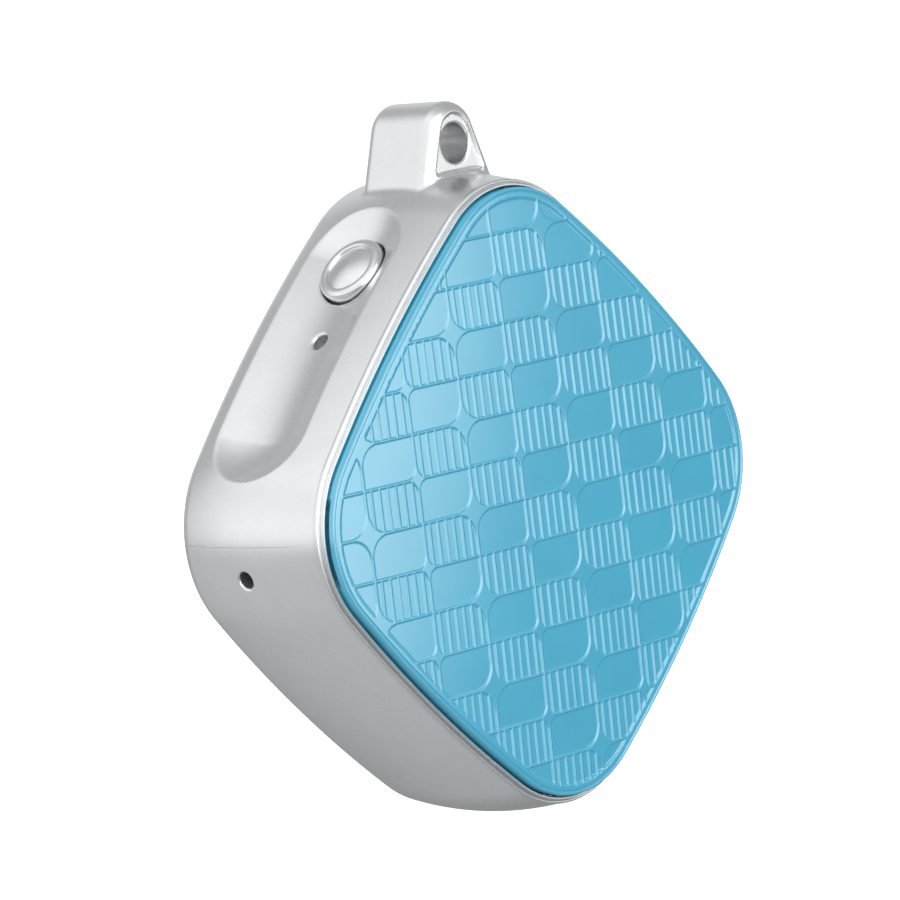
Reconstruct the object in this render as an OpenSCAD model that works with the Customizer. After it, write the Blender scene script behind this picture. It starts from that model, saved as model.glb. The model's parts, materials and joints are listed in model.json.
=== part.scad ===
// Locator tag worn as a pendant: a diamond-shaped silver case with a lanyard lug, a clip-fitted
// front cover, a recessed side button and a coin cell. Millimetres.
// The origin is the centre of the lanyard hole. +Z is up and the front cover faces -Y.

/* [Outline] */
// Width of the front cover across its flats
cover_flats = 35; // [34.8:0.1:35.4]
// Corner radius of the front cover's outline
corner_r = 7.84; // [7.7:0.02:8]
// Half of the angle that each bowed side of it turns through
side_angle = 5.75; // [5.5:0.05:6]

/* [Case] */
// Depth of the case from front rim to back face
case_depth = 13.4; // [13.4:0.1:14]
// How far the wall stands outside the cover's edge at mid-depth
wall_out = 1.3; // [1.25:0.01:1.4]
// Radius of the barrel-shaped wall section
barrel_r = 28.3; // [27:0.1:30]
// Thickness of the wall at mid-depth
wall_t = 1.4; // [1.35:0.01:1.45]
// Radius of the back edge
back_edge_r = 1.6; // [1.4:0.1:1.6]
// Radius of the front rim's outer edge
rim_edge_r = 0.2; // [0.15:0.05:0.25]
// Height of the thin lip that stands on the rim round the cover
rim_lip_h = 0.35; // [0.2:0.05:0.4]
// Thickness of the lip on the rim
rim_lip_t = 0.22; // [0.15:0.01:0.22]

/* [Front cover] */
// Height of the cover's crown above the rim
cover_rise = 1.29; // [1.2:0.01:1.4]
// How much lower the cover's edge is than its crown
cover_fall = 0.3; // [0.2:0.05:0.4]
// Gap between the cover's edge and the rim
rim_gap = 0.12; // [0.1:0.01:0.15]
// Length of the pry notch in the cover's edge
notch_len = 5.8; // [4:0.1:7]
// Depth of the pry notch
notch_in = 0.45; // [0.3:0.05:0.6]
// Height of the pry notch above the lip of the rim
notch_over_lip = 0.2; // [0.1:0.05:0.25]

/* [Lanyard lug] */
// Height of the lanyard hole above the body's centre
lug_height = 24.1; // [24:0.1:24.4]
// Radius of the lanyard hole
lanyard_r = 1.36; // [1.2:0.02:1.4]
// Thickness of the lug
lug_t = 6.4; // [6:0.1:6.8]
// Radius of the arch over the hole
arch_r = 2.3; // [2.3:0.05:2.5]
// Height of the arch's centre above the hole
arch_up = 0.6; // [0.5:0.05:0.7]
// Angle between the lug's sides and the vertical
lug_taper = 19; // [15:1:22]
// Width of the raised lip round each face of the lug
lip_w = 0.7; // [0.6:0.05:0.8]
// Depth of the panel inside the lip
panel_depth = 0.35; // [0.2:0.05:0.4]

/* [Side recess] */
// Distance from the body's centre to the floor of the finger recess
recess_floor = 17.4; // [17.35:0.01:17.5]
// Radius of the recess across its width
recess_r = 7; // [6.8:0.1:7.2]
// Half of the recess's width
recess_half = 4.3; // [4.2:0.05:4.4]
// Centres of the recess's round ends, along the wall
recess_ends = [-8, 6.7]; // [-8.2:0.1:6.8]

/* [Side button] */
// Place of the button along the upper left wall
button_at = 5.85; // [5.6:0.05:6]
// Radius of the button
button_r = 2.5; // [2.4:0.05:2.5]
// Distance from the body's centre to the top of the button
button_top = 18.27; // [18.1:0.01:18.4]
// Travel of the button
button_travel = 0.3; // [0.2:0.01:0.3]
// Place of the indicator along the same wall
led_at = 0.1; // [0:0.05:0.2]
// Radius of the indicator's hole
led_hole_r = 0.7; // [0.6:0.05:0.75]
// Radius of the sound port
port_r = 0.6; // [0.5:0.05:0.7]
// Direction of the sound port about the left corner's centre
port_angle = 194; // [190:1:196]

/* [Coin cell] */
// Diameter of the coin cell
cell_d = 24.5; // [24.3:0.1:24.5]
// Thickness of the coin cell
cell_t = 7.7; // [7.5:0.1:7.7]

/* [Hidden] */
$fn = 96;
eps = 0.01;

// The outline is four bowed sides and four round corners, tangent to each other.
half_flats = cover_flats / 2;
centre_gap = (half_flats - corner_r) / (1 - cos(side_angle) + sin(side_angle));
corner_c = centre_gap * sin(side_angle);
side_r = centre_gap + corner_r;
side_back = side_r - half_flats;
vertex = corner_c * sqrt(2) + corner_r;

// Levels through the depth: 0 is mid-depth and positive is towards the front.
rim_level = case_depth / 2;
lip_level = rim_level + rim_lip_h;
back_level = -case_depth / 2;
crown_level = rim_level + cover_rise;
seat_level = rim_level - 0.8;
ledge_t = 0.9;
rear_cover_t = 1.4;
rear_gasket_t = 0.3;
rear_ledge_t = 0.8;
rear_inner = back_level + rear_cover_t;
boss_level = rear_inner + rear_gasket_t;
board_t = 0.8;
board_back = boss_level + rear_ledge_t;
board_front = board_back + board_t;
tray_floor_t = 0.6;
cell_low = board_front + tray_floor_t + 0.25;
cell_top = cell_low + cell_t;

// Offsets from the cover's edge line: positive is outside it.
inner_off = wall_out - wall_t;
ledge_off = -1.3;
rear_ledge_off = -2.2;
rear_cover_off = -1;
rear_gap = 0.05;
board_off = -1.6;
skirt_off = ledge_off - 0.15;
skirt_t = 0.95;
groove_depth = 0.35;
core_angle = side_angle + 8;
panel_step = 0.03;

// The recess is backed by a thicker wall.
backing_in = 16.1;
backing_half = 4.7;
upper_left = 1;

cell_r = cell_d / 2;
can_t = 0.4;
cap_r = cell_r - 1.35;
tray_r = cell_r + 0.85;
boss_at = [14.4, 8];
boss_r = 1.6;
boss_h = 3.5;
screw_r = 0.8;
ear_at = 14.6;

// Distances from the body's centre along the button's axis
dish_r = 4.2;
dish_depth = 0.4;
flange_low = backing_in - 0.6;
plunger_tip = 14.15;
dome_top = plunger_tip - button_travel - 0.1;
dome_r = 3.5;
dome_t = 0.12;
switch_back = 13;
switch_front = 14.55;
switch_half = 2.25;
switch_high = 2;
plate_gap = 0.02;

buzzer_x = -16;
buzzer_half = 2.5;
buzzer_h = 2.4;

silver = [0.83, 0.84, 0.84];
blue = [0.36, 0.72, 0.86];
steel = [0.72, 0.73, 0.74];
black = [0.12, 0.12, 0.13];
gold = [0.8, 0.66, 0.36];

function polar(r, a) = [r * cos(a), r * sin(a)];
function arc(c, r, a0, a1, n) = [for (i = [0:n]) c + polar(r, a0 + (a1 - a0) * i / n)];
function turned(p, a) = [p.x * cos(a) - p.y * sin(a), p.x * sin(a) + p.y * cos(a)];
function barrel(level) = wall_out - barrel_r + sqrt(pow(barrel_r, 2) - pow(level, 2));

// One side and one corner of the outline at an offset, and the whole outline in short steps.
function quarter(off) = concat(
    [for (k = [0:7]) [-side_back, 0] + polar(side_r + off, side_angle * (k / 4 - 1))],
    [for (k = [0:15]) [corner_c, corner_c]
        + polar(corner_r + off, side_angle + (90 - 2 * side_angle) * k / 16)]
);
function outline(off) = [for (i = [0:3], p = quarter(off)) turned(p, 45 + 90 * i)];

// Stands a part that is drawn lying on its back upright, and hangs it under the lanyard hole.
module upright() {
    translate([0, 0, -lug_height]) rotate([90, 0, 0]) children();
}

// Turns to one side: 0 is upper right and 1 is upper left. X then points out of that side.
module side(i) {
    rotate(45 + 90 * i) children();
}

// An axis that points out through the upper left wall at a place along it.
module out_of_wall(along) {
    side(upper_left) translate([0, -along, 0]) rotate([0, 90, 0]) children();
}

// Moves by thousandths and then by the remainder, so that neighbouring sectors meet exactly.
module exactly(v) {
    thousandths = [for (x = v) floor(x * 1000) / 1000];
    translate(thousandths) translate(v - thousandths) children();
}

// Carries a section round the outline: its x is the offset and its y the level.
module sweep() {
    for (i = [0:3]) side(i) {
        exactly([-side_back, 0, 0])
            rotate_extrude(angle = 2 * side_angle, start = -side_angle)
                exactly([side_r, 0]) children();
        exactly([corner_c, corner_c, 0])
            rotate_extrude(angle = 90 - 2 * side_angle, start = side_angle)
                exactly([corner_r, 0]) children();
    }
}

// The cover's middle panel: a prism whose corners lie inside the swept band.
module core(off, low, high) {
    r = corner_r + off;
    points = [for (i = [0:3], a = [core_angle, 45, 90 - core_angle])
        turned([corner_c, corner_c] + polar(r, a), 45 + 90 * i)];
    translate([0, 0, low]) linear_extrude(high - low) polygon(points);
}

// A flat plate of the outline at one offset.
module plate(off, low, high) {
    translate([0, 0, low]) linear_extrude(high - low) polygon(outline(off));
}

module box(low, high) {
    translate(low) cube(high - low);
}

module tube(r_out, r_in, low, high) {
    translate([0, 0, low]) difference() {
        cylinder(r = r_out, h = high - low);
        translate([0, 0, -eps]) cylinder(r = r_in, h = high - low + 2 * eps);
    }
}

module disc(r, low, high) {
    translate([0, 0, low]) cylinder(r = r, h = high - low);
}

module at_bosses() {
    for (i = [0:3]) side(i) translate(boss_at) children();
}

module at_ears() {
    for (s = [-1, 1]) translate([0, s * ear_at, 0]) children();
}

// ---- Case ----

// Section of the wall: rim and its lip, barrel side, round back edge, rear ledge and front ledge.
module wall_section() {
    rim_low = rim_level - rim_edge_r;
    back_high = back_level + back_edge_r;
    rim = arc([barrel(rim_low) - rim_edge_r, rim_low], rim_edge_r, 90, 0, 4);
    wall = [for (i = [1:9]) let (l = rim_low + (back_high - rim_low) * i / 10) [barrel(l), l]];
    back = arc([barrel(back_high) - back_edge_r, back_high], back_edge_r, 0, -90, 6);
    rear_gap_off = rear_cover_off + rear_gap;
    lip_off = min(rim_gap + rim_lip_t, barrel(rim_low) - rim_edge_r);
    inside = [
        [rear_gap_off, back_level], [rear_gap_off, boss_level], [rear_ledge_off, boss_level],
        [rear_ledge_off, board_back], [inner_off, board_back],
        [inner_off, seat_level - ledge_t], [ledge_off, seat_level - ledge_t],
        [ledge_off, seat_level], [rim_gap, seat_level], [rim_gap, lip_level],
        [lip_off, lip_level]
    ];
    polygon(concat(rim, wall, back, inside));
}

// Outline of the lug: an arch on straight sides that spread downwards, inset by a margin.
module lug_outline(margin, foot) {
    r = arch_r - margin;
    c = [0, lug_height + arch_up];
    tangent = c + polar(r, lug_taper);
    spread = (tangent.y - foot) * tan(lug_taper);
    polygon(concat(
        [[tangent.x + spread, foot]],
        arc(c, r, lug_taper, 180 - lug_taper, 20),
        [[-tangent.x - spread, foot]]
    ));
}

// The finger recess: a round-bottomed trough that follows the bow of the wall, with round ends.
module recess() {
    side(upper_left) intersection() {
        translate([-side_back, 0, 0]) rotate_extrude(angle = 16, start = -8)
            translate([recess_floor + recess_r + side_back, 0]) circle(recess_r);
        rotate([0, 90, 0]) linear_extrude(half_flats + 5) polygon(concat(
            arc([0, -recess_ends[1]], recess_half, 180, 360, 16),
            arc([0, -recess_ends[0]], recess_half, 0, 180, 16)
        ));
    }
}

module case_frame() color(silver) upright() difference() {
    union() {
        sweep() wall_section();
        side(upper_left) box([backing_in, -11.6, -backing_half], [half_flats, 12.3, backing_half]);
        at_bosses() disc(boss_r, boss_level, boss_level + boss_h);
        translate([0, 0, -lug_t / 2]) linear_extrude(lug_t) lug_outline(0, vertex + 0.2);
    }
    recess();
    for (s = [-1, 1]) translate([0, 0, s * (lug_t / 2 - panel_depth / 2 + eps)])
        linear_extrude(panel_depth + 2 * eps, center = true)
            lug_outline(lip_w, vertex + wall_out + 0.1);
    translate([0, lug_height, -lug_t]) cylinder(r = lanyard_r, h = 2 * lug_t);
    at_bosses() disc(screw_r + 0.02, boss_level - 1, boss_level + boss_h - 0.8);
    out_of_wall(button_at) disc(button_r + 0.1, backing_in - 1, half_flats + 3);
    out_of_wall(led_at) disc(led_hole_r, backing_in - 1, half_flats + 3);
    translate([-corner_c * sqrt(2), 0, 0]) rotate(port_angle) rotate([0, 90, 0])
        disc(port_r, corner_r - 2, corner_r + 3);
}

// Section of the cover's edge, skirt and the groove for its gasket.
module cover_section() {
    under = crown_level - 1.25;
    edge_r = 0.45;
    edge_level = crown_level - cover_fall;
    groove = seat_level - 0.2;
    polygon(concat(
        [[-4, under], [-4, crown_level - panel_step], [-2.8, crown_level - panel_step]],
        arc([-edge_r, edge_level - edge_r], edge_r, 90, 0, 5),
        [
            [0, seat_level + 0.05], [skirt_off, seat_level + 0.05], [skirt_off, groove],
            [skirt_off - groove_depth, groove], [skirt_off - groove_depth, groove - 0.5],
            [skirt_off, groove - 0.5], [skirt_off, seat_level - 1.3],
            [skirt_off - skirt_t, seat_level - 1.3], [skirt_off - skirt_t, under]
        ]
    ));
}

module front_cover() color(blue) upright() difference() {
    union() {
        sweep() cover_section();
        core(-3.25, crown_level - 1.2, crown_level);
        for (i = [0:3]) side(i) box([15.15, -3, 3.7], [15.85, 3, seat_level - 1]);
    }
    box(
        [-vertex - 1, -notch_len / 2, seat_level - eps],
        [-vertex + notch_in, notch_len / 2, lip_level + notch_over_lip]
    );
}

module cover_gasket() color("dimgray") upright() sweep()
    translate([skirt_off - groove_depth + 0.02, seat_level - 0.68])
        square([groove_depth + 0.1, 0.46]);

module rear_cover() color(silver) upright() difference() {
    union() {
        plate(rear_cover_off, back_level + 0.2, rear_inner);
        plate(rear_cover_off - 0.2, back_level, rear_inner - 0.2);
    }
    at_bosses() {
        disc(screw_r + 0.15, back_level - 1, rear_inner + 1);
        disc(1.4, back_level - 1, back_level + 0.8);
    }
}

module rear_gasket() color("dimgray") upright() sweep()
    translate([-1.75, rear_inner]) square([0.7, rear_gasket_t]);

// A small pan-head screw standing on its head, with a cross recess in the head.
module screw(r, head_r, head_h, length) {
    difference() {
        union() {
            cylinder(r = head_r, h = head_h);
            cylinder(r = r, h = head_h + length);
        }
        for (a = [0, 90]) rotate(a) cube([head_r * 1.3, 0.3, head_h], center = true);
    }
}

module rear_screws() color(steel) upright() at_bosses()
    translate([0, 0, back_level + 0.1]) screw(screw_r, 1.3, 0.7, 3.3);

// ---- Button and switch ----

module button_cap() color(silver) upright() out_of_wall(button_at) difference() {
    union() {
        disc(button_r, flange_low, button_top - 0.2);
        disc(button_r - 0.2, backing_in, button_top);
        disc(button_r + 0.7, flange_low, backing_in - 0.05);
    }
    translate([0, 0, button_top + dish_r - dish_depth]) sphere(dish_r);
    tube(button_r + 1, button_r - 0.35, backing_in + 0.3, backing_in + 0.7);
}

module button_seal() color("dimgray") upright() out_of_wall(button_at)
    tube(button_r + 0.08, button_r - 0.33, backing_in + 0.32, backing_in + 0.68);

module switch_plunger() color("ivory") upright() out_of_wall(button_at) {
    disc(0.8, plunger_tip, flange_low - 0.02);
    disc(1.2, plunger_tip, plunger_tip + 0.3);
}

// The switch stands on the board behind the button; its cavity holds the plunger and dome.
module switch_housing() color(black) upright() side(upper_left)
    translate([0, -button_at, 0]) difference() {
        box([switch_back, -switch_half, board_front], [switch_front, switch_half, switch_high]);
        rotate([0, 90, 0]) disc(1.6, switch_back + 0.4, switch_front + 1);
    }

module switch_plate() color(steel) upright() side(upper_left)
    translate([0, -button_at, 0]) difference() {
        box(
            [switch_front + plate_gap, -switch_half, board_front],
            [switch_front + plate_gap + 0.15, switch_half, switch_high]
        );
        rotate([0, 90, 0]) disc(0.88, switch_front - 1, switch_front + 1);
    }

// A thin snap dome: its top stays clear of the plunger's full travel.
module switch_dome() color(gold) upright() out_of_wall(button_at) intersection() {
    translate([0, 0, dome_top - dome_r]) difference() {
        sphere(dome_r);
        sphere(dome_r - dome_t);
    }
    disc(1.45, switch_back + 0.42, plunger_tip);
}

module light_pipe() color([0.9, 0.95, 0.97]) upright() {
    out_of_wall(led_at) disc(led_hole_r - 0.04, backing_in - 0.2, recess_floor - 0.7);
    side(upper_left) box([15.35, -0.9, board_front + 0.15], [15.95, 0.7, 1.1]);
}

module status_led() color("white") upright() side(upper_left)
    box([14.1, -0.9, board_front], [15.3, 0.7, board_front + 1.3]);

module port_mesh() color(black) upright() translate([-corner_c * sqrt(2), 0, 0])
    rotate(port_angle) rotate([0, 90, 0]) disc(1.5, corner_r - 0.45, corner_r - 0.3);

// ---- Board and power ----

module main_board() color([0.05, 0.32, 0.2]) upright() difference() {
    plate(board_off, board_back, board_front);
    at_bosses() disc(boss_r + 0.3, board_back - 1, board_front + 1);
    at_ears() disc(0.75, board_back - 1, board_front + 1);
}

module battery_tray() color(black) upright() difference() {
    union() {
        disc(tray_r, board_front, cell_top - 0.8);
        at_ears() disc(1.8, board_front, board_front + 2);
    }
    disc(cell_r + 0.2, board_front + tray_floor_t, cell_top);
    at_ears() disc(0.62, board_front - 1, board_front + 1.6);
    // Slots for the positive contact and for a fingernail under the cell
    side(3) box([tray_r - 1, -2.2, board_front - 1], [tray_r + 1, 2.2, cell_top]);
    side(0) box([tray_r - 1, -4, board_front + 3], [tray_r + 1, 4, cell_top]);
}

module tray_screws() color(steel) upright() at_ears()
    translate([0, 0, board_back - 0.72]) screw(0.6, 1.1, 0.7, board_t + 1.4);

module cell_can() color(steel) upright() difference() {
    union() {
        disc(cell_r, cell_low + 0.35, cell_top - 0.3);
        disc(cell_r - 0.3, cell_low + 0.35, cell_top);
    }
    disc(cell_r - 0.85, cell_low, cell_low + 2);
    disc(cell_r - can_t, cell_low + 1.6, cell_top - 0.5);
}

module cell_cathode() color([0.2, 0.19, 0.18]) upright()
    disc(cell_r - can_t - 0.1, cell_low + 2.85, cell_top - 0.55);

module cell_separator() color("ivory") upright()
    disc(cell_r - can_t - 0.1, cell_low + 2.7, cell_low + 2.82);

module cell_anode() color([0.6, 0.6, 0.62]) upright()
    disc(cap_r - 0.5, cell_low + 0.6, cell_low + 2.66);

module cell_gasket() color("ivory") upright()
    tube(cell_r - 0.88, cap_r + 0.03, cell_low + 0.35, cell_low + 1.5);

module cell_cap() color(steel) upright() difference() {
    union() {
        disc(cap_r, cell_low + 0.3, cell_low + 1.5);
        disc(cap_r - 0.45, cell_low, cell_low + 0.4);
    }
    disc(cap_r - 0.4, cell_low + 0.55, cell_low + 2);
}

module positive_contact() color(gold) upright() side(3) {
    box([12.6, -1.8, board_front], [12.8, 1.8, cell_top + 0.25]);
    box([8.5, -1.8, cell_top + 0.05], [12.8, 1.8, cell_top + 0.25]);
    box([12.6, -1.8, board_front], [14.6, 1.8, board_front + 0.2]);
}

module negative_contact() color(gold) upright() {
    base = board_front + tray_floor_t;
    disc(3, base, base + 0.12);
    for (a = [0:120:240]) rotate(a) translate([2, -0.8, base]) rotate([0, -1, 0])
        cube([5, 1.6, 0.12]);
}

// ---- Electronics ----

module buzzer_case() color(black) upright() difference() {
    box(
        [buzzer_x - buzzer_half, -buzzer_half, board_front],
        [buzzer_x + buzzer_half, buzzer_half, board_front + buzzer_h]
    );
    translate([buzzer_x, 0, 0]) disc(2.1, board_front + 0.3, board_front + buzzer_h - 0.3);
    translate([buzzer_x, 0, 0]) disc(0.8, board_front + 2, board_front + 3);
}

module buzzer_diaphragm() color(steel) upright() translate([buzzer_x, 0, 0])
    disc(2, board_front + 1.75, board_front + 1.85);

module buzzer_coil() color([0.72, 0.4, 0.2]) upright() translate([buzzer_x, 0, 0])
    tube(1.5, 0.5, board_front + 0.35, board_front + 1.4);

module shield_can() color(steel) upright() difference() {
    box([13.4, -2.7, board_front], [18.4, 3.1, board_front + 1.6]);
    box([13.55, -2.55, board_front - 1], [18.25, 2.95, board_front + 1.45]);
}

module radio_chip() color(black) upright()
    box([13.9, -1.8, board_front], [17.9, 2.2, board_front + 0.9]);

module chip_antenna() color("ivory") upright()
    box([-2.6, 16.6, board_front], [2.6, 18.2, board_front + 1.1]);

module crystal() color(steel) upright()
    box([-1.6, -18.2, board_front], [1.6, -16.7, board_front + 0.75]);

module chip_passives() color([0.55, 0.45, 0.35]) upright() {
    for (i = [0:2]) translate([2.3 + 0.8 * i, -17.6 + 0.5 * i, board_front]) cube([0.5, 1, 0.5]);
    side(3) for (i = [0:2]) translate([14.5, 2.6 + 0.9 * i, board_front]) cube([1, 0.5, 0.5]);
    for (i = [0:2]) translate([10 + 0.3 * i, 10 - 1.1 * i, board_front]) cube([1, 0.5, 0.5]);
}

case_frame();
front_cover();
cover_gasket();
rear_cover();
rear_gasket();
rear_screws();
button_cap();
button_seal();
switch_plunger();
switch_housing();
switch_plate();
switch_dome();
light_pipe();
status_led();
port_mesh();
main_board();
battery_tray();
tray_screws();
cell_can();
cell_cathode();
cell_separator();
cell_anode();
cell_gasket();
cell_cap();
positive_contact();
negative_contact();
buzzer_case();
buzzer_diaphragm();
buzzer_coil();
shield_can();
radio_chip();
chip_antenna();
crystal();
chip_passives();
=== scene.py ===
"""Looks of the locator tag: a silver case with a lanyard lug, and a blue embossed front cover.

Curved shells are made as signed distances in millimetres, in the drawing frame of the case:
u is to the right, v is up from the middle of the case, and w is towards the front.
"""
import json
import math

import bpy
import numpy as np
from mathutils import Matrix, Vector


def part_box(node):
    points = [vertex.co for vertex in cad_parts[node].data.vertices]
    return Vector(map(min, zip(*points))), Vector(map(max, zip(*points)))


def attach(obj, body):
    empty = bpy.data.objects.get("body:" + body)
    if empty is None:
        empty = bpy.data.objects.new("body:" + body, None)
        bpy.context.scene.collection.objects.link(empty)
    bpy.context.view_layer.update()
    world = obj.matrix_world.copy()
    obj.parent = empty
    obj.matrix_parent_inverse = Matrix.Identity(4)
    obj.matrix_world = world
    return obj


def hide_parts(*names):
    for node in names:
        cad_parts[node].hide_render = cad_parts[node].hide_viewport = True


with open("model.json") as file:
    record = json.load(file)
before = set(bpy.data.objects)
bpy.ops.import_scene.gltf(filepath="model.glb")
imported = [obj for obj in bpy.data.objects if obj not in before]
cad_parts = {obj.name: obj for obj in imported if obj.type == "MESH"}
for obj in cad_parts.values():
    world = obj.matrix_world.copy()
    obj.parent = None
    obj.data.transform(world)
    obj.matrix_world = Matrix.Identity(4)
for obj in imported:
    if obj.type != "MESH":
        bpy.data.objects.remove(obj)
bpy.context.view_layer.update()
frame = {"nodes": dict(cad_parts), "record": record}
nodes = frame["nodes"]

MM = 0.001

# ---- Sizes, in millimetres ----
cover_low, cover_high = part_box("front_cover")
case_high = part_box("case_frame")[1]
LUG_HEIGHT = -(cover_low.z + cover_high.z) / 2 / MM
BACK = -case_high.y / MM
CROWN = -cover_low.y / MM

# the cover's outline: four bowed sides, each turning by SIDE_ANGLE either way, and round corners
HALF_FLATS, CORNER_R = 17.5, 7.84
SIDE_ANGLE = math.radians(5.75)
SPAN = (HALF_FLATS - CORNER_R) / (1 - math.cos(SIDE_ANGLE) + math.sin(SIDE_ANGLE))
CORNER_C = SPAN * math.sin(SIDE_ANGLE)
SIDE_R = SPAN + CORNER_R
SIDE_BACK = SIDE_R - HALF_FLATS
VERTEX = CORNER_C * math.sqrt(2) + CORNER_R

# the barrel-shaped wall, its round back edge, and the height where the rim's own piece begins
WALL_OUT, BARREL_R, INNER_OFF = 1.3, 28.3, -0.1
BACK_EDGE_R, RIM_SPLIT = 1.6, 6.1
# the ledges inside the wall, for the front cover and the rear cover
SEAT, LEDGE_LOW, LEDGE_OFF, RIM_GAP = 5.9, 5.0, -1.3, 0.12
BOSS, BOARD_BACK, REAR_LEDGE_OFF, REAR_GAP_OFF = -5.0, -4.2, -2.2, -0.95
BOSS_R, BOSS_H, BOSS_PLACES = 1.6, 3.5, ((14.4, 8), (8, 14.4))
# the lug: a round end above tapered sides, and a panel let into each face
LUG_TAPER, LUG_R, LUG_RISE, LUG_HALF, LUG_EDGE_R = math.radians(19), 2.3, 0.6, 3.2, 1.0
PANEL_IN, PANEL_FLOOR, PANEL_FOOT, HOLE_R = 0.85, 3.0, 2, 1.36
# the finger recess and the thicker wall behind it
RECESS_FLOOR, RECESS_R, RECESS_BACK, RECESS_ENDS = 17.4, 7.6, 0.2, (-8.2, 6.9)
BACKING, BACKING_HALF, BACKING_ENDS = 16.1, 4.7, (-12.3, 11.6)
# what opens through the wall
BUTTON_AT, BUTTON_R, BUTTON_TOP, BUTTON_LOW, BUTTON_GAP = 5.85, 2.5, 18.27, 15.5, 0.12
LED_AT, LED_R = 0.1, 0.6
PORT_TURN, PORT_R = math.radians(194), 0.6
BORE_FROM, PORT_FROM = 10, 5
# the mould's seam: its height above the middle of the case, and where it runs along w
SEAM_AT, SEAM_FROM, SEAM_LONG = 0.13, -5.2, 11.3
# the lip round the rim, and the cover's pry notch
LIP_TOP, NOTCH_TOP, NOTCH_HALF, NOTCH_IN = 7.04, 7.25, 2.9, 0.45
# the cover under its face: its plate, its skirt with the gasket's groove, and its clips
PLATE_IN, PLATE_THICK, FACE_LAP = 0.5, 1.25, 0.06
SKIRT_OFF, SKIRT_BELOW, SKIRT_TOP = (-2.4, -1.45), 1.3, 7
GROOVE_OFF, GROOVE_BELOW = (-1.8, -1), (0.7, 0.2)
CLIP_AT, CLIP_HALF, CLIP_HEIGHT = (15.15, 15.85), 3, (3.7, 5)


def to_row(p):
    """Drawing frame in millimetres to the shared frame in metres."""
    p = np.asarray(p, float)
    return np.stack([p[..., 0], -p[..., 2], p[..., 1] - LUG_HEIGHT], -1) * MM


# ---- Camera ----
# its place in metres; in degrees, how far it is turned from +Y towards +X, raised and rolled
CAMERA_PLACE = Vector((-0.28754, -0.27352, 0.02406))
CAMERA_AZIMUTH, CAMERA_RISE, CAMERA_ROLL = 46.3398, -6.4845, -6.8009


def add_camera():
    """A long lens at the front left of the object, that looks slightly down."""
    data = bpy.data.cameras.new("camera")
    data.lens = 232.5
    data.sensor_width = 36
    data.clip_start = 0.02
    data.clip_end = 20
    camera = bpy.data.objects.new("camera", data)
    turn = Matrix.Rotation(-math.radians(CAMERA_AZIMUTH), 4, "Z")
    turn = turn @ Matrix.Rotation(math.radians(90 + CAMERA_RISE), 4, "X")
    turn = turn @ Matrix.Rotation(math.radians(CAMERA_ROLL), 4, "Z")
    camera.matrix_world = Matrix.Translation(CAMERA_PLACE) @ turn
    bpy.context.scene.collection.objects.link(camera)
    bpy.context.scene.camera = camera


add_camera()


# ---- Signed distances ----
def round_max(a, b, r):
    """The common part of two shapes, with its edge rounded to radius r."""
    corner = np.hypot(np.maximum(a + r, 0), np.maximum(b + r, 0))
    return np.minimum(np.maximum(a, b), -r) + corner


def round_min(a, b, r):
    """Two shapes joined, with a fillet of radius r between them."""
    return -round_max(-a, -b, r)


def slab(x, low, high):
    """Distance outside the stretch from low to high."""
    return np.maximum(low - x, x - high)


def smooth(x, low, high):
    """A step from 0 at low to 1 at high, level at both ends."""
    t = np.clip((x - low) / (high - low), 0, 1)
    return t * t * (3 - 2 * t)


def outline(u, v):
    """Distance outside the outline of the cover's edge."""
    x, y = np.abs(u + v) / math.sqrt(2), np.abs(v - u) / math.sqrt(2)
    side_x = np.hypot(x + SIDE_BACK, y) - SIDE_R
    side_y = np.hypot(x, y + SIDE_BACK) - SIDE_R
    corner = np.hypot(x - CORNER_C, y - CORNER_C) - CORNER_R
    t = math.tan(SIDE_ANGLE)
    at_corner = (y > t * (x + SIDE_BACK)) & (x > t * (y + SIDE_BACK))
    return np.where(at_corner, corner, np.maximum(side_x, side_y))


def wall_axes(u, v):
    """Distance out through the upper left wall, and distance along it."""
    return (v - u) / math.sqrt(2), (u + v) / math.sqrt(2)


def barrel(off, w):
    """Distance outside the barrel-shaped wall."""
    return np.hypot(off - (WALL_OUT - BARREL_R), w) - BARREL_R


def lug_outline(u, v):
    """Distance outside the lug as it is seen from the front."""
    x, y = np.abs(u), v - (LUG_HEIGHT + LUG_RISE)
    cos, sin = math.cos(LUG_TAPER), math.sin(LUG_TAPER)
    side = x * cos + y * sin - LUG_R
    return np.where(y * cos - x * sin > 0, np.hypot(x, y) - LUG_R, side)


def hollow(off, w):
    """Distance into the space inside the case, past its two ledges."""
    inside = RIM_GAP - off
    inside = np.minimum(inside, np.maximum(INNER_OFF - off, w - SEAT))
    inside = np.minimum(inside, np.maximum(LEDGE_OFF - off, slab(w, LEDGE_LOW, SEAT)))
    inside = np.minimum(inside, np.maximum(REAR_GAP_OFF - off, w - BOARD_BACK))
    return np.minimum(inside, np.maximum(REAR_LEDGE_OFF - off, slab(w, BOSS, BOARD_BACK)))


def lug_field(u, v, w):
    """The lug, with a panel let into each face inside a raised lip."""
    flat = lug_outline(u, v)
    lug = round_max(flat, np.abs(w) - LUG_HALF, LUG_EDGE_R)
    lug = np.maximum(lug, VERTEX - 1 - v)
    # the panel's lower edge is an arc that follows the top of the case
    foot = VERTEX + WALL_OUT + 0.1 - np.hypot(u, v + PANEL_FOOT)
    panel = round_max(flat + PANEL_IN, foot + PANEL_FOOT, 0.4)
    panel = round_max(panel, PANEL_FLOOR - np.abs(w), 0.1)
    return round_max(lug, -panel, 0.15)


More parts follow.
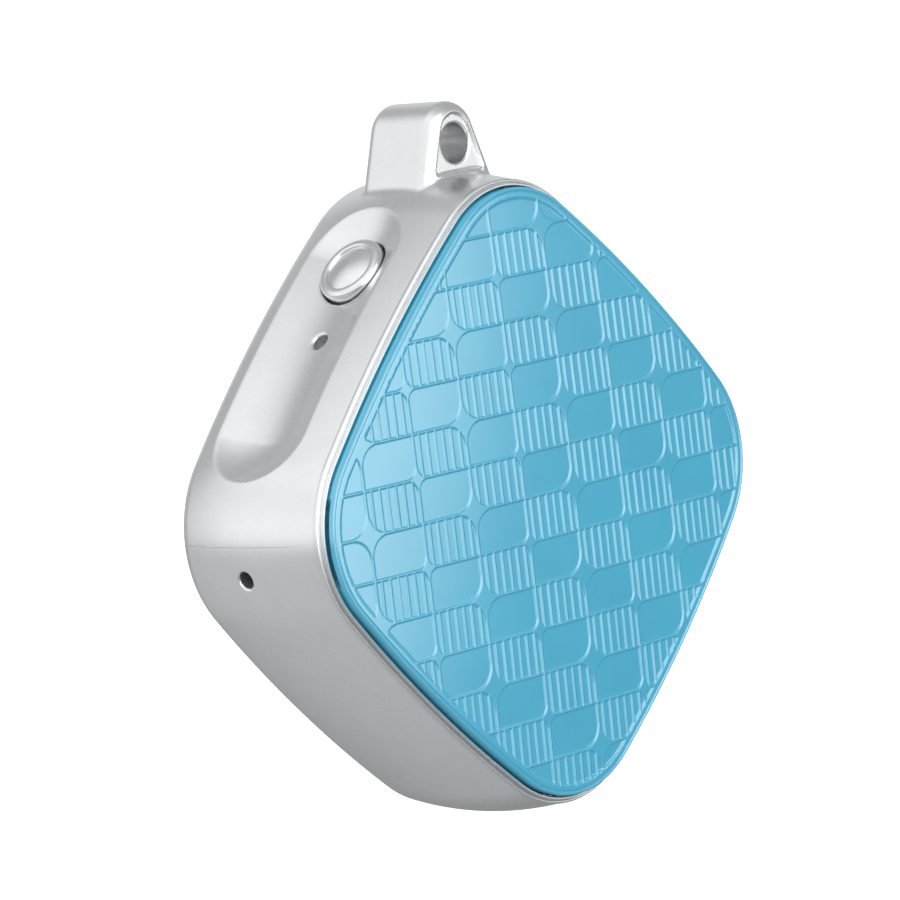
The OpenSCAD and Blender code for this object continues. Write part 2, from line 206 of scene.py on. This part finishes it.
def case_field(u, v, w):
    """The case: a solid outside with all its cuts, then hollowed out to what is left of it."""
    out, along = wall_axes(u, v)
    off = outline(u, v)
    shape = np.maximum(barrel(off, w), w - RIM_SPLIT)
    shape = round_max(shape, BACK - w, BACK_EDGE_R)
    shape = round_min(shape, lug_field(u, v, w), 0.28)
    hole = np.hypot(u, v - LUG_HEIGHT) - HOLE_R
    shape = round_max(shape, -hole, 0.18)

    # the finger recess, then the button's bore, the indicator's and the sound port's
    end = along - np.clip(along, *RECESS_ENDS)
    trough = np.hypot(out + SIDE_BACK, along - end) - (RECESS_FLOOR + RECESS_R + SIDE_BACK)
    trough = np.sqrt(trough ** 2 + (w + RECESS_BACK) ** 2 + end ** 2) - RECESS_R
    shape = round_max(shape, -np.maximum(trough, -out), 0.15)
    bore = np.hypot(along - BUTTON_AT, w) - BUTTON_R - BUTTON_GAP
    bore = np.maximum(bore, BORE_FROM - out)
    shape = round_max(shape, -bore, 0.12)
    led = np.maximum(np.hypot(along - LED_AT, w) - LED_R, BORE_FROM - out)
    shape = round_max(shape, -led, 0.2)
    cos, sin = math.cos(PORT_TURN), math.sin(PORT_TURN)
    x, y = u + CORNER_C * math.sqrt(2), v
    port = np.hypot(-x * sin + y * cos, w) - PORT_R
    port = np.maximum(port, PORT_FROM - (x * cos + y * sin))
    shape = round_max(shape, -port, 0.2)

    # what the case is hollowed out to: its wall, the recess's backing and the bosses, which
    # stand in mirrored pairs on each side
    within = hollow(off, w)
    backing = np.maximum(BACKING - out, slab(along, *BACKING_ENDS))
    backing = np.maximum(backing, np.abs(w) - BACKING_HALF)
    within = np.minimum(within, backing)
    side_x, side_y = np.abs(out), np.abs(along)
    for x, y in BOSS_PLACES:
        boss = np.hypot(side_x - x, side_y - y) - BOSS_R
        boss = np.maximum(boss, slab(w, BOSS, BOSS + BOSS_H))
        within = np.minimum(within, boss)
    # the lug above the case stays solid
    within = np.minimum(within, VERTEX - v)
    return round_max(shape, within, 0.1)


# ---- Skins ----
CORNERS = [(i, j, k) for i in (0, 1) for j in (0, 1) for k in (0, 1)]


def gradient(field, p):
    """The field's slope at each point, by central differences."""
    h, g = 0.01, np.empty_like(p)
    for k in range(3):
        a, b = p.copy(), p.copy()
        a[:, k] += h
        b[:, k] -= h
        g[:, k] = (field(*a.T) - field(*b.T)) / (2 * h)
    return g


def cell_points(d, cells):
    """The mean of each cell's edge crossings, in steps of the grid."""
    total, hits = np.zeros((len(cells), 3)), np.zeros(len(cells))
    for a in CORNERS:
        for k in range(3):
            if a[k]:
                continue
            b = tuple(1 if i == k else a[i] for i in range(3))
            da, db = d[tuple((cells + a).T)], d[tuple((cells + b).T)]
            cross = (da < 0) != (db < 0)
            t = np.where(cross, da / np.where(cross, da - db, 1), 0)
            point = np.asarray(a, float) + np.outer(t, np.eye(3)[k])
            total += np.where(cross[:, None], point, 0)
            hits += cross
    return cells + total / hits[:, None]


def settle(field, start, step):
    """The points, moved down the field's slope onto its zero, by less than a cell."""
    p = start.copy()
    for _ in range(3):
        g = gradient(field, p)
        move = field(*p.T)[:, None] * g / np.maximum((g * g).sum(1), 0.25)[:, None]
        p = start + np.clip(p - move - start, -0.6 * step, 0.6 * step)
    return p


def cell_quads(inside, number):
    """A quad between the four cells round each edge of the grid that crosses the surface."""
    quads, shape = [], inside.shape
    for k in range(3):
        i, j = (k + 1) % 3, (k + 2) % 3
        one = [slice(1, n - 1) for n in shape]
        one[k] = slice(0, shape[k] - 1)
        two = list(one)
        two[k] = slice(1, shape[k])
        a, b = inside[tuple(one)], inside[tuple(two)]
        edges = np.argwhere(a != b) + [s.start for s in one]
        flip = a[a != b]
        loop = []
        for di, dj in ((-1, -1), (0, -1), (0, 0), (-1, 0)):
            cell = edges.copy()
            cell[:, i] += di
            cell[:, j] += dj
            loop.append(number[tuple(cell.T)])
        loop = np.stack(loop, 1)
        quads.append(np.where(flip[:, None], loop, loop[:, ::-1]))
    return np.concatenate(quads)


def skin(name, field, low, high, step):
    """A quad mesh on the zero of a field, with normals from the field."""
    axes = [np.arange(a, b + step, step, dtype=np.float32) for a, b in zip(low, high)]
    shape = [len(a) for a in axes]
    grid = [a.reshape([-1 if i == k else 1 for i in range(3)]) for k, a in enumerate(axes)]
    d = np.broadcast_to(field(*grid), shape)
    inside = d < 0

    # the cells that the surface crosses have some corners inside and some outside
    count = np.zeros([n - 1 for n in shape], np.int8)
    for corner in CORNERS:
        count += inside[tuple(slice(o, n - 1 + o) for o, n in zip(corner, shape))]
    cells = np.argwhere((count > 0) & (count < 8))
    number = np.full(count.shape, -1, np.int32)
    number[tuple(cells.T)] = np.arange(len(cells))

    p = settle(field, np.asarray(low) + cell_points(d, cells) * step, step)
    g = gradient(field, p)
    normals = g / np.maximum(np.linalg.norm(g, axis=1), 1e-6)[:, None]
    return mesh_object(name, to_row(p), cell_quads(inside, number), to_row_turn(normals))


def to_row_turn(n):
    """Directions in the drawing frame, as directions in the shared frame."""
    return np.stack([n[:, 0], -n[:, 2], n[:, 1]], 1)


def mesh_object(name, points, faces, normals=None):
    """A mesh from points in metres and faces of one size, with smooth shading."""
    faces = np.asarray(faces)
    mesh = bpy.data.meshes.new(name)
    mesh.vertices.add(len(points))
    mesh.vertices.foreach_set("co", np.asarray(points, np.float32).ravel())
    mesh.loops.add(faces.size)
    mesh.loops.foreach_set("vertex_index", faces.astype(np.int32).ravel())
    mesh.polygons.add(len(faces))
    starts = np.arange(len(faces), dtype=np.int32) * faces.shape[1]
    mesh.polygons.foreach_set("loop_start", starts)
    mesh.update(calc_edges=True)
    mesh.validate()
    mesh.polygons.foreach_set("use_smooth", np.ones(len(mesh.polygons), bool))
    if normals is not None and len(mesh.polygons) == len(faces):
        mesh.normals_split_custom_set_from_vertices(normals)
    piece = bpy.data.objects.new(name, mesh)
    bpy.context.scene.collection.objects.link(piece)
    return piece


# ---- Sheets: grids of points with a closed second direction ----
def grid_sheet(points):
    """Quads between rows of points in millimetres; a row given twice makes a sharp edge."""
    rows, turns = points.shape[:2]
    step = np.diff(points, axis=0)
    tangent = np.roll(points, -1, 1) - np.roll(points, 1, 1)
    normals = np.zeros(points.shape)
    normals[:-1] += np.cross(tangent[:-1], step)
    normals[1:] += np.cross(tangent[1:], step)
    normals /= np.maximum(np.linalg.norm(normals, axis=2, keepdims=True), 1e-9)
    i, k = np.meshgrid(np.arange(rows - 1), np.arange(turns), indexing="ij")
    after = (k + 1) % turns
    quads = np.stack([i * turns + k, i * turns + after, (i + 1) * turns + after,
                      (i + 1) * turns + k], -1)
    length = np.linalg.norm(step, axis=2)
    solid = np.maximum(length, np.roll(length, -1, 1)) > 1e-4
    return points.reshape(-1, 3), quads[solid], normals.reshape(-1, 3)


def edge_curve(side_steps=44, corner_steps=64):
    """The outline of the cover's edge as complex numbers, and its outward directions."""
    points, outward = [], []
    for quarter in range(4):
        turn = np.exp(1j * math.radians(135 + 90 * quarter))
        for centre, radius, start, end, n in (
                (-SIDE_BACK, SIDE_R, -SIDE_ANGLE, SIDE_ANGLE, side_steps),
                (CORNER_C * (1 + 1j), CORNER_R, SIDE_ANGLE, math.pi / 2 - SIDE_ANGLE,
                 corner_steps)):
            away = np.exp(1j * (start + (end - start) * np.arange(n) / n))
            points.append((centre + radius * away) * turn)
            outward.append(away * turn)
    return np.concatenate(points), np.concatenate(outward)


def crown(u, v):
    """Height of the cover's face without its pattern: a very flat dome."""
    return CROWN - 0.01 - FALL * (u * u + v * v)


def along_edge(profile, crowned=True, notch=False):
    """A profile of (distance outside the cover's edge, height) carried round the edge.

    A crowned profile's heights count from the cover's crown, down to SEAT and no lower.
    """
    edge, outward = edge_curve()
    rows = []
    for off, high in profile:
        reach = np.full(len(edge), float(off))
        if notch and off < 0 and high < -0.2:
            cut = smooth(NOTCH_HALF - np.abs(edge.imag), 0, 0.3) * (edge.real < 0)
            reach = off * cut
        flat = edge + reach * outward
        u, v = flat.real, flat.imag
        w = np.full(len(edge), float(high))
        if crowned:
            w = np.maximum(crown(u, v) + high, SEAT + 0.05)
        rows.append(np.stack([u, v, w], -1))
    return np.array(rows)


def arc(centre, radius, start, end, n):
    """Points on an arc of n stretches, with its angles in degrees."""
    turn = [math.radians(start + (end - start) * k / n) for k in range(n + 1)]
    return [(centre[0] + radius * math.cos(t), centre[1] + radius * math.sin(t)) for t in turn]


def join_sheets(name, *sheets):
    """One mesh of several sheets."""
    points, faces, normals, count = [], [], [], 0
    for p, f, n in sheets:
        points.append(p)
        faces.append(f + count)
        normals.append(n)
        count += len(p)
    used, number = np.unique(np.concatenate(faces), return_inverse=True)
    points, normals = np.concatenate(points)[used], np.concatenate(normals)[used]
    return mesh_object(name, to_row(points), number.reshape(-1, 4), to_row_turn(normals))


# ---- Embossed pattern of the front cover ----
TILE_W, TILE_H, RIB_PITCH, RIBS = 5.0, 3.0, 0.77, 6
ROW_ZERO = 12  # where the top of row 0 is, above the middle of the case
ROUND_BIG, ROUND_SMALL, ROUND_NONE = 1.6, 0.85, 0.05
# how far the pattern and then the face stop inside the cover's edge, and the border's slope
BORDER_IN, FACE_IN, BORDER_SLOPE = 0.6, 0.5, 0.6
# the thin walls: their height, and half their width at the top and at the foot
DEPTH, WALL_TOP, WALL_FOOT = 0.085, 0.03, 0.155
FALL = 0.00085  # the crown's fall, over the square of the distance from the middle


def wall_line(distance):
    """The section of a thin wall that stands on the floor of a tile."""
    return -DEPTH * smooth(distance, WALL_TOP, WALL_FOOT)


def emboss(u, v):
    """Height of the pattern: rows of tiles, ribbed and plain by turns, with rounded corners."""
    a, b = (u + TILE_W / 2) / TILE_W, (ROW_ZERO - v) / TILE_H
    i, j = np.floor(a), np.floor(b)
    x, y = (a - i - 0.5) * TILE_W, (0.5 - (b - j)) * TILE_H
    ribbed = (i + j) % 2 == 0
    # plain tiles are round at the upper left and lower right, ribbed ones at the other two
    left = x < 0
    line = np.where(left, i, i + 1)
    round_r = np.where(line % 2 == 1, ROUND_BIG, ROUND_SMALL)
    same_side = left == (y > 0)
    radius = np.where(same_side != ribbed, round_r, ROUND_NONE)
    qx, qy = np.abs(x) - TILE_W / 2 + radius, np.abs(y) - TILE_H / 2 + radius
    edge = np.minimum(np.maximum(qx, qy), 0)
    edge = edge + np.hypot(np.maximum(qx, 0), np.maximum(qy, 0)) - radius
    # the wall along the border is less steep than the others
    edge = round_max(edge, BORDER_SLOPE * (outline(u, v) + BORDER_IN), 0.15)
    # the tiles cut short at the left end and at the top are plain
    plain = ~ribbed | (i <= -4) | (j <= -3)
    phase = x / RIB_PITCH - 0.5
    rib = np.clip(np.round(phase), -RIBS / 2, RIBS / 2 - 1)
    ribs = wall_line(np.abs(phase - rib) * RIB_PITCH)
    return np.maximum(wall_line(-edge), np.where(plain, -1, ribs))


def face_height(u, v):
    """Height of the cover's embossed face."""
    return crown(u, v) + emboss(u, v)


def cover_face():
    """The embossed face as a height map, its border drawn out to a line inside the edge."""
    step_u, step_v = ((TILE_W / 70, TILE_H / 36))
    reach = VERTEX + 1
    n, m = round(reach / step_u), round(reach / step_v)
    u, v = np.meshgrid(np.arange(-n, n + 1) * step_u, np.arange(-m, m + 1) * step_v,
                       indexing="ij")
    within = outline(u, v) < -FACE_IN
    number = np.arange(u.size).reshape(u.shape)
    quad = [slice(0, -1), slice(1, None)]
    corners = [(quad[a], quad[b]) for a, b in ((0, 0), (1, 0), (1, 1), (0, 1))]
    keep = np.logical_and.reduce([within[c] for c in corners])
    faces = np.stack([number[c][keep] for c in corners], -1)

    # a point with a dropped cell beside it belongs to the border
    cells = np.zeros(u.shape, int)
    for c in corners:
        cells[c] += keep
    rim = (cells > 0) & (cells < 4)
    h = 0.005
    for _ in range(4):
        off = outline(u[rim], v[rim])
        du = (outline(u[rim] + h, v[rim]) - outline(u[rim] - h, v[rim])) / (2 * h)
        dv = (outline(u[rim], v[rim] + h) - outline(u[rim], v[rim] - h)) / (2 * h)
        u[rim] -= (off + FACE_IN) * du
        v[rim] -= (off + FACE_IN) * dv
    h = 0.012
    slope_u = (face_height(u - h, v) - face_height(u + h, v)) / (2 * h)
    slope_v = (face_height(u, v - h) - face_height(u, v + h)) / (2 * h)
    normals = np.stack([slope_u, slope_v, np.ones(u.shape)], -1)
    normals /= np.linalg.norm(normals, axis=2, keepdims=True)
    points = np.stack([u, v, face_height(u, v)], -1)
    return points.reshape(-1, 3), faces, normals.reshape(-1, 3)


def cover_edge():
    """The band round the face, its groove, the rounded edge and the side with the pry notch."""
    band = [(-FACE_IN, 0), (-0.38, 0), (-0.345, -0.012), (-0.31, -0.05), (-0.28, -0.065),
            (-0.25, -0.05), (-0.215, -0.012), (-0.18, 0)]
    edge = arc((-0.13, -0.13), 0.13, 90, 0, 7)
    side = [(0, -0.25)]
    notch = NOTCH_TOP - crown(-VERTEX, 0)
    step = [(0, notch), (0, notch), (-NOTCH_IN, notch), (-NOTCH_IN, notch), (-NOTCH_IN, -1.5),
            (-NOTCH_IN, -3)]
    return along_edge((band + edge + side + step)[::-1], notch=True)


def cover_body(u, v, w):
    """The cover under its face: the plate, the skirt with its groove and four clips."""
    off = outline(u, v)
    plate = np.maximum(w - (crown(u, v) - DEPTH - FACE_LAP), off + PLATE_IN)
    plate = np.maximum(plate, SEAT + 0.05 - w)
    hole = np.maximum(off - SKIRT_OFF[0], w - (CROWN - PLATE_THICK))
    shape = round_max(plate, -hole, 0.1)
    skirt = np.maximum(slab(off, *SKIRT_OFF), slab(w, SEAT - SKIRT_BELOW, SKIRT_TOP))
    low, high = (SEAT - below for below in GROOVE_BELOW)
    groove = np.maximum(slab(off, *GROOVE_OFF), slab(w, low, high))
    shape = np.minimum(shape, np.maximum(skirt, -groove))
    out, along = np.abs(v - u) / math.sqrt(2), np.abs(u + v) / math.sqrt(2)
    for x, y in ((out, along), (along, out)):
        clip = np.maximum(y - CLIP_HALF, slab(w, *CLIP_HEIGHT))
        shape = np.minimum(shape, np.maximum(slab(x, *CLIP_AT), clip))
    return shape


# ---- Materials ----
def material(name, colour, **sockets):
    """A new material of one colour, its tree and its shader, with the given sockets set."""
    m = bpy.data.materials.new(name)
    m.use_nodes = True
    shader = m.node_tree.nodes["Principled BSDF"]
    shader.inputs["Base Color"].default_value = (*colour, 1)
    for key, value in sockets.items():
        shader.inputs[key.replace("_", " ")].default_value = value
    return m, m.node_tree, shader


def noise(tree, scale, detail):
    """Noise in the object's own coordinates, with scale waves to the metre."""
    place = tree.nodes.new("ShaderNodeTexCoord")
    texture = tree.nodes.new("ShaderNodeTexNoise")
    texture.inputs["Scale"].default_value = scale
    texture.inputs["Detail"].default_value = detail
    tree.links.new(place.outputs["Object"], texture.inputs["Vector"])
    return texture.outputs["Fac"]


def spread(tree, value, low, high):
    """Noise, which keeps near 0.5, spread out from low to high."""
    rng = tree.nodes.new("ShaderNodeMapRange")
    rng.inputs["From Min"].default_value = 0.3
    rng.inputs["From Max"].default_value = 0.7
    rng.inputs["To Min"].default_value = low
    rng.inputs["To Max"].default_value = high
    tree.links.new(value, rng.inputs["Value"])
    return rng.outputs["Result"]


def tint(tree, value, dark, light):
    """A colour between dark and light, by the noise."""
    mix = tree.nodes.new("ShaderNodeMix")
    mix.data_type = "RGBA"
    mix.inputs["A"].default_value = (*dark, 1)
    mix.inputs["B"].default_value = (*light, 1)
    tree.links.new(spread(tree, value, 0, 1), mix.inputs["Factor"])
    return mix.outputs["Result"]


def bump(tree, value, distance):
    """Relief of the given height in metres, at half strength."""
    node = tree.nodes.new("ShaderNodeBump")
    node.inputs["Strength"].default_value = 0.5
    node.inputs["Distance"].default_value = distance
    tree.links.new(value, node.inputs["Height"])
    return node.outputs["Normal"]


def surface(name, dark, light, rough, grain, depth, fine=None, **sockets):
    """A shader whose colour varies with a coarse grain, and roughness and relief with a fine one.

    The grain and the height of its relief are in metres. The fine grain is a quarter of the
    coarse one, if none is given.
    """
    m, tree, shader = material(name, light, **sockets)
    shader_in = shader.inputs
    coarse = noise(tree, 1 / grain, 4.0)
    small = noise(tree, 1 / (fine or grain / 4), 2.0)
    tree.links.new(tint(tree, coarse, dark, light), shader_in["Base Color"])
    tree.links.new(spread(tree, small, *rough), shader_in["Roughness"])
    tree.links.new(bump(tree, small, depth), shader_in["Normal"])
    return m


SILVER = surface(
    "silver_satin", (0.715, 0.725, 0.73), (0.74, 0.75, 0.755), (0.27, 0.31), 0.0016, 0.0000006,
    fine=0.0003, Metallic=0.92)
SILVER_CAP = surface(
    "silver_cap", (0.72, 0.73, 0.735), (0.77, 0.78, 0.785), (0.17, 0.22), 0.0012, 0.0000005,
    fine=0.0003, Metallic=0.95)
BLUE = surface(
    "cover_gloss", (0.036, 0.365, 0.55), (0.042, 0.395, 0.58), (0.3, 0.36), 0.006, 0.000001,
    fine=0.0002, Coat_Weight=1.0, Coat_Roughness=0.11, Coat_IOR=2.2, Specular_IOR_Level=0.0)
# by the record's slot: dark colour, light colour, roughness, size and height of the grain
FINISHES = {
    "gasket_grey": ((0.10, 0.10, 0.11), (0.14, 0.14, 0.15), (0.6, 0.75), 0.0008, 0.00001, {}),
    "screw_steel": ((0.40, 0.40, 0.41), (0.55, 0.55, 0.56), (0.22, 0.38), 0.0003, 0.000004,
                    {"Metallic": 1.0}),
    "steel_sheet": ((0.50, 0.50, 0.51), (0.62, 0.62, 0.63), (0.25, 0.4), 0.001, 0.000005,
                    {"Metallic": 1.0}),
    "cell_steel": ((0.55, 0.55, 0.55), (0.66, 0.66, 0.65), (0.2, 0.34), 0.0012, 0.000004,
                   {"Metallic": 1.0}),
    "contact_gold": ((0.70, 0.50, 0.20), (0.85, 0.64, 0.30), (0.22, 0.36), 0.0006, 0.000004,
                     {"Metallic": 1.0}),
    "coil_copper": ((0.45, 0.17, 0.06), (0.72, 0.32, 0.14), (0.3, 0.45), 0.0002, 0.00002,
                    {"Metallic": 1.0}),
    "nylon_ivory": ((0.66, 0.62, 0.50), (0.76, 0.72, 0.60), (0.4, 0.55), 0.001, 0.000008, {}),
    "moulding_black": ((0.012, 0.012, 0.013), (0.025, 0.025, 0.026), (0.4, 0.6), 0.0005,
                       0.000012, {}),
    "chip_black": ((0.010, 0.010, 0.011), (0.02, 0.02, 0.022), (0.45, 0.6), 0.0003, 0.00001,
                   {}),
    "board_green": ((0.010, 0.12, 0.06), (0.022, 0.19, 0.095), (0.25, 0.4), 0.0009, 0.00001,
                    {"Coat Weight": 0.4}),
    # painted shade: the clear light pipe is coloured dark grey so the LED hole it sits in looks
    # shaded
    "clear_acrylic": ((0.17, 0.18, 0.185), (0.22, 0.23, 0.235), (0.25, 0.35), 0.001, 0.000003,
                      {"Transmission Weight": 0.2}),
    "led_white": ((0.75, 0.74, 0.66), (0.85, 0.84, 0.78), (0.25, 0.4), 0.0004, 0.000005, {}),
    "mesh_black": ((0.006, 0.006, 0.007), (0.03, 0.03, 0.032), (0.5, 0.7), 0.00012, 0.00003, {}),
    "cathode_black": ((0.015, 0.014, 0.013), (0.04, 0.038, 0.036), (0.6, 0.8), 0.0004, 0.00002,
                      {}),
    "separator_paper": ((0.68, 0.66, 0.60), (0.80, 0.78, 0.72), (0.7, 0.9), 0.0004, 0.00002, {}),
    "anode_grey": ((0.36, 0.36, 0.37), (0.50, 0.50, 0.51), (0.4, 0.6), 0.0008, 0.00001,
                   {"Metallic": 0.8}),
    "antenna_ceramic": ((0.62, 0.66, 0.68), (0.74, 0.77, 0.79), (0.35, 0.5), 0.0006, 0.000006,
                        {}),
    "chip_tan": ((0.30, 0.21, 0.13), (0.45, 0.34, 0.23), (0.4, 0.6), 0.0003, 0.00001, {}),
}


def finish_with(obj, m):
    """Makes m the object's only material."""
    obj.data.materials.clear()
    obj.data.materials.append(m)


def finish_nodes():
    """Gives every CAD node the finish of its slot in the record."""
    made = {"silver_case": SILVER, "silver_button": SILVER_CAP, "cover_blue": BLUE}
    for part in frame["record"]["subparts"]:
        name = part["material_slot"]
        if name not in made:
            dark, light, rough, grain, depth, sockets = FINISHES[name]
            made[name] = surface(name, dark, light, rough, grain, depth, **sockets)
        finish_with(nodes[part["node"]], made[name])


def add(piece, body, slot, m, *replaced):
    """Finishes a piece and puts it on its body, in place of the CAD nodes named last."""
    finish_with(piece, m)
    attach(piece, body)
    if replaced:
        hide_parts(*replaced)


finish_nodes()


# ---- Case and cover ----
def rim_profile():
    """The rim from inside: a thin lip, a fine groove, a round bead and the start of the wall."""
    lip = [(RIM_GAP, SEAT)] + arc((RIM_GAP + 0.05, LIP_TOP - 0.05), 0.05, 180, 90, 4)
    lip += arc((0.225, LIP_TOP - 0.05), 0.05, 90, 0, 4) + [(0.28, 6.72)]
    groove = [(0.286, 6.65), (0.305, 6.62), (0.325, 6.63)]
    bead = arc((0.455, 6.565), 0.145, 145, 0, 9) + [(0.598, 6.45), (0.592, 6.41)]
    foot = [(0.582, 6.385), (0.566, 6.375), (0.566, 6.37)]
    wall = [(math.sqrt(BARREL_R ** 2 - w * w) - BARREL_R + WALL_OUT + 0.004, w)
            for w in (6.36, 6.32, 6.28, 6.2, 6.1, 5.95)]
    return lip + groove + bead + foot + wall


def seam_line():
    """A low ridge that the mould leaves across the corner with the sound port."""
    # each point: distance to the side, and distance out of the wall
    section = [(-0.09, -0.02), (0, 0.045), (0.09, -0.02), (0, -0.06)]
    rows = []
    for t in np.linspace(0, 1, 60):
        w = SEAM_FROM + SEAM_LONG * t
        fade = float(smooth(t, 0, 0.02) * smooth(1 - t, 0, 0.25))
        reach = VERTEX + WALL_OUT - BARREL_R + math.sqrt(BARREL_R ** 2 - w * w)
        rows.append([(-reach - fade * high, SEAM_AT + fade * side, w) for side, high in section])
    return join_sheets("case_seam", grid_sheet(np.array(rows)))


# the sizes of the cells that the skins are made with
case_step, body_step = ((0.135, 0.25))
case = skin("case_shell", case_field, (-22.9, -22.9, -7), (22.9, 28.1, 6.4), case_step)
add(case, "case", "silver_case", SILVER, "case_frame")
rim = join_sheets("case_rim", grid_sheet(along_edge(rim_profile(), crowned=False)))
add(rim, "case", "silver_case", SILVER)
add(seam_line(), "case", "silver_case", SILVER)
cover = join_sheets("cover_shell", cover_face(), grid_sheet(cover_edge()))
add(cover, "cover", "cover_blue", BLUE, "front_cover")
body = skin("cover_body", cover_body, (-21.4, -21.4, 3.4), (21.4, 21.4, 8.3), body_step)
add(body, "cover", "cover_blue", BLUE)


# ---- Button ----
def lathe(name, profile, along, turns=160):
    """A profile of (radius, distance out) turned about an axis through the upper left wall."""
    angle = np.linspace(0, 2 * math.pi, turns, endpoint=False)
    r, out = (np.array(profile)[:, k][:, None] for k in (0, 1))
    reach, up = along + r * np.cos(angle), r * np.sin(angle)
    s = math.sqrt(0.5)
    points = np.stack([(reach - out) * s, (reach + out) * s, up + 0 * out], -1)
    return join_sheets(name, grid_sheet(points))


def button_profile():
    """A low dome inside a ring, the cap's side and its flange."""
    dome_r, dome_h, groove, ring_r, edge_r = 1.72, 0.31, 0.34, 0.18, 0.42
    top, flange, flange_r = BUTTON_TOP, BACKING - 0.05, BUTTON_R + 0.7
    dome = [(dome_r * t, top - dome_h * t * t) for t in
            (0.001, 0.1, 0.2, 0.3, 0.4, 0.5, 0.6, 0.7, 0.8, 0.9, 0.96)]
    inner = [(dome_r, top - groove), (dome_r + 0.03, top - groove)]
    ridge = arc((1.95, top - groove), ring_r, 165, 90, 6)
    edge = arc((BUTTON_R - edge_r, top - 0.58), edge_r, 90, 0, 8)
    low = [(BUTTON_R, flange), (BUTTON_R, flange), (flange_r, flange), (flange_r, flange),
           (flange_r, BUTTON_LOW), (flange_r, BUTTON_LOW), (0.002, BUTTON_LOW)]
    return (dome + inner + ridge + edge + low)[::-1]


button = lathe("button_shell", button_profile(), BUTTON_AT)
add(button, "button", "silver_button", SILVER_CAP, "button_cap")


# ---- Floor, light and finish ----
AMBIENT = (0.31, 0.328, 0.335)
HORIZON, HORIZON_SOFT = -0.10, 0.012  # its height, as a sine, and how far it fades either way
# soft lights of the studio: direction, cosine where each begins and is full, strength, and
# whether the horizon cuts it off
LOBES = [
    ((-0.3, -0.9, 0.33), 0.72, 0.96, 2.1, False),
    ((0.5, -0.865, 0.0), 0.951, 0.973, 2.0, False),
    ((-0.93, 0.1, 0.35), 0.33, 0.8, 0.62, True),
    ((-0.35, 0.0, 0.93), 0.6, 1.0, 0.16, False),
    ((-0.38, 0.69, 0.61), 0.95, 0.995, 0.14, False),
    ((-0.6, 0.5, -0.6), 0.3, 1.0, 0.31, False),
    ((0.6, 0.75, 0.25), 0.85, 0.97, 0.32, False),
    ((0.0, 0.0, 1.0), -0.2, 0.0, 0.14, True),
]


def studio_world():
    """An even grey surround with the broad soft lights of LOBES added to it."""
    world = bpy.data.worlds.new("studio")
    world.use_nodes = True
    tree = world.node_tree
    place = tree.nodes.new("ShaderNodeTexCoord")

    def lobe(direction, begin, full, strength):
        """Light that rises smoothly as the direction looked in comes near its own."""
        dot = tree.nodes.new("ShaderNodeVectorMath")
        dot.operation = "DOT_PRODUCT"
        dot.inputs[1].default_value = Vector(direction).normalized()
        tree.links.new(place.outputs["Generated"], dot.inputs[0])
        rise = tree.nodes.new("ShaderNodeMapRange")
        rise.interpolation_type = "SMOOTHSTEP"
        rise.inputs["From Min"].default_value = begin
        rise.inputs["From Max"].default_value = full
        rise.inputs["To Max"].default_value = strength
        tree.links.new(dot.outputs["Value"], rise.inputs["Value"])
        return rise.outputs["Result"]

    def combine(operation, a, b):
        """Two values added or multiplied."""
        node = tree.nodes.new("ShaderNodeMath")
        node.operation = operation
        tree.links.new(a, node.inputs[0])
        tree.links.new(b, node.inputs[1])
        return node.outputs["Value"]

    above = lobe((0, 0, 1), HORIZON - HORIZON_SOFT, HORIZON + HORIZON_SOFT, 1)
    total = None
    for direction, begin, full, strength, cut in LOBES:
        light = lobe(direction, begin, full, strength)
        if cut:
            light = combine("MULTIPLY", light, above)
        total = combine("ADD", total, light) if total else light
    colour = tree.nodes.new("ShaderNodeVectorMath")
    colour.inputs[0].default_value = AMBIENT
    tree.links.new(total, colour.inputs[1])
    background = tree.nodes["Background"]
    tree.links.new(colour.outputs["Vector"], background.inputs["Color"])
    bpy.context.scene.world = world


def studio_floor():
    """A pale floor that glows a little, and lights nothing on the object."""
    level, half = -0.08, 6
    floor = mesh_object(
        "floor", [(-half, -half, level), (half, -half, level), (half, half, level),
                  (-half, half, level)], [(0, 1, 2, 3)])
    m, _, shader = material("floor_pale", (0.8, 0.8, 0.8), Roughness=0.9)
    shader.inputs["Emission Color"].default_value = (1, 1, 1, 1)
    shader.inputs["Emission Strength"].default_value = 0.6
    finish_with(floor, m)
    floor.visible_glossy = False
    floor.visible_diffuse = False


bpy.context.scene.view_settings.view_transform = "Standard"
studio_world()
studio_floor()
